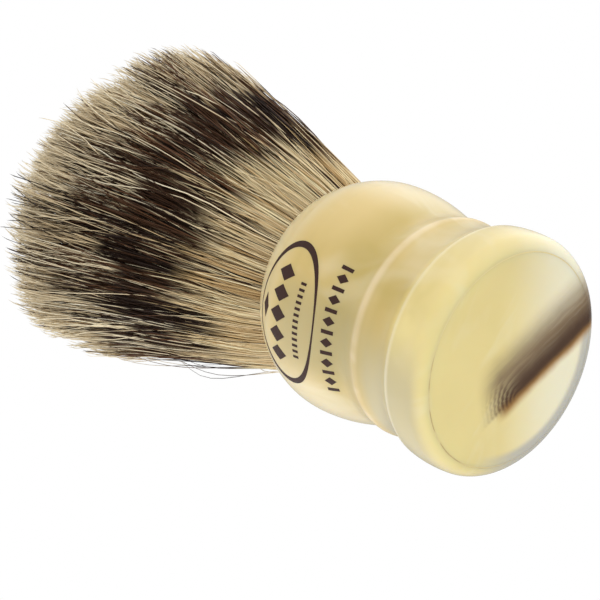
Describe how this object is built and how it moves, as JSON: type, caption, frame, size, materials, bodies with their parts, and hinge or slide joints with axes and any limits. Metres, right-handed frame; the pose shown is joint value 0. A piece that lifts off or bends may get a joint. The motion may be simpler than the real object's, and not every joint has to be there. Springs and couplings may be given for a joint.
{
  "type": "shaving brush",
  "caption": "Wet-shaving brush with a turned cream imitation-horn handle, dished foot disc, waisted base, round bulb and a fanned knot of banded badger hair and boar bristle.",
  "frame": {"origin": "centre of the circle the brush stands on, in the plane of the flat ring under the foot disc", "axes": "+Z along the turning axis from the foot to the hair tips; +X and +Y are free, as the brush is round"},
  "size_m": [0.0506, 0.0506, 0.0895],
  "materials": {
    "horn_resin": "polished",
    "foot_resin": "polished",
    "cement": "matte",
    "plug_resin": "matte",
    "thread": "matte",
    "boar_bristle": "matte",
    "badger_hair": "matte"
  },
  "bodies": {
    "root": {"handle": "horn_resin", "foot_disc": "foot_resin", "foot_cement": "cement", "knot_plug": "plug_resin", "binding_thread": "thread", "knot_cement": "cement", "boar_core": "boar_bristle", "badger_layer": "badger_hair"}
  },
  "joints": []
}
